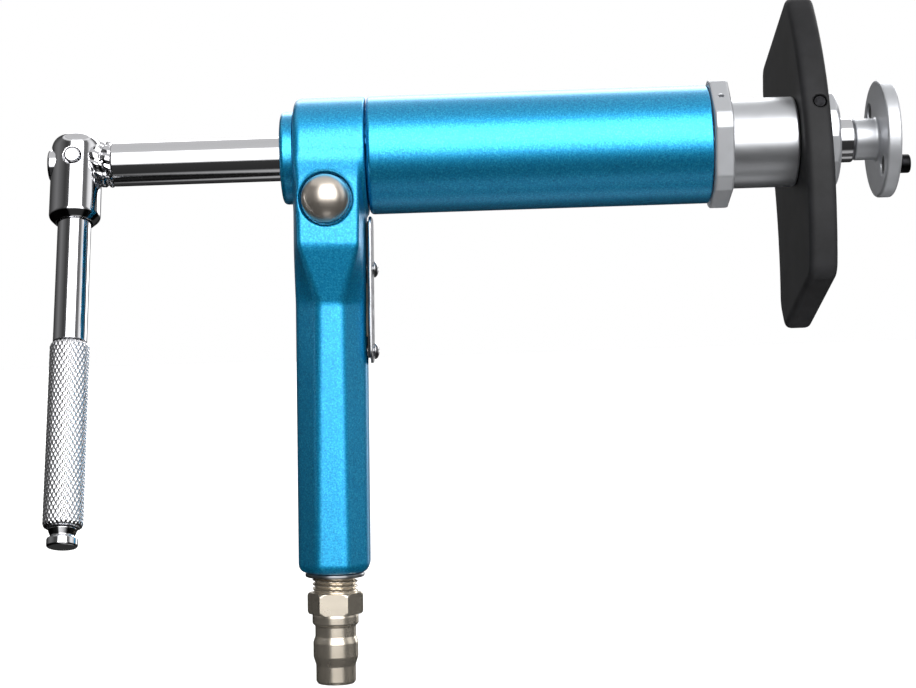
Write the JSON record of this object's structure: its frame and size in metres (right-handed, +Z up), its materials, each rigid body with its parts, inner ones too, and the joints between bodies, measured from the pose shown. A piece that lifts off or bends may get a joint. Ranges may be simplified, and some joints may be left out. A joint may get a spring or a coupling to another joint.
{
  "type": "pneumatic brake caliper wind-back tool",
  "caption": "Pistol-grip air tool that pushes and winds back brake caliper pistons, with a crank handle, a reaction plate and a pinned drive adapter.",
  "frame": {"origin": "where the grip's centre line meets the crank rod's axis, under the collar", "axes": "+X along the rod towards the adapter, +Z up away from the grip, -Y the side with the near valve button"},
  "size_m": [0.2473, 0.098, 0.1955],
  "materials": {
    "blue_paint": "metallic blue baked enamel, fine sparkle",
    "chrome": "bright chrome plate",
    "satin_aluminium": "fine turned, satin",
    "nickel": "nickel plate, slightly warm",
    "black_coating": "matt black powder coat",
    "black_steel": "blackened",
    "steel": "zinc plated or plain steel",
    "bronze": "sintered bronze",
    "rubber": "matt black",
    "acetal": "white, satin",
    "felt": "pressed felt",
    "ferrite": "plain magnet"
  },
  "bodies": {
    "tool_body": {"handle_casting": "blue_paint", "rear_cap": "blue_paint", "rear_rod_seal": "rubber", "rear_rod_bush": "bronze", "barrel_o_ring": "rubber", "barrel_tube": "blue_paint", "gland_nut": "satin_aluminium", "nose": "satin_aluminium", "front_rod_seal": "rubber", "front_rod_bush": "bronze", "front_nut": "satin_aluminium", "spring_seat": "steel", "return_spring": "steel", "cover_plate": "satin_aluminium", "cover_gasket": "rubber", "cover_screw_upper": "steel", "cover_screw_lower": "steel", "silencer_pad": "felt", "air_plug": "nickel", "plug_seal_washer": "acetal", "inlet_filter": "bronze"},
    "piston_body": {"piston": "satin_aluminium", "piston_seal": "rubber", "piston_wear_band": "acetal"},
    "crank_body": {"crank_rod": "chrome", "crank_head": "chrome", "weld_bead": "chrome", "crank_cross_pin": "chrome", "crank_arm": "chrome", "crank_grip": "chrome", "crank_end_button": "chrome", "rear_circlip": "steel", "front_circlip": "steel", "rear_thrust_washer": "bronze", "front_thrust_washer": "bronze"},
    "adapter_body": {"adapter_disc": "satin_aluminium", "adapter_magnet": "ferrite", "drive_pin_far": "black_steel", "drive_pin_near": "black_steel"},
    "plate_body": {"reaction_plate": "black_coating", "plate_set_screw": "black_steel"},
    "valve_body": {"valve_spool": "steel", "spool_o_ring_near": "rubber", "spool_o_ring_middle": "rubber", "spool_o_ring_far": "rubber", "valve_button_near": "nickel", "valve_button_far": "nickel"}
  },
  "joints": [
    {"name": "piston_stroke", "type": "slide", "parent": "tool_body", "child": "piston_body", "axis": [1, 0, 0], "range_m": [0, 0.048], "stiffness_N_per_m": 200, "springref_m": -0.02, "deforming": ["return_spring"]},
    {"name": "crank_turn", "type": "hinge", "parent": "piston_body", "child": "crank_body", "pos_m": [0, 0, 0], "axis": [1, 0, 0], "continuous": true},
    {"name": "adapter_pull", "type": "slide", "parent": "crank_body", "child": "adapter_body", "axis": [1, 0, 0], "range_m": [0, 0.012]},
    {"name": "plate_turn", "type": "hinge", "parent": "tool_body", "child": "plate_body", "pos_m": [0.138, 0, 0], "axis": [1, 0, 0], "continuous": true},
    {"name": "valve_push", "type": "slide", "parent": "tool_body", "child": "valve_body", "axis": [0, 1, 0], "range_m": [0, 0.004]}
  ]
}
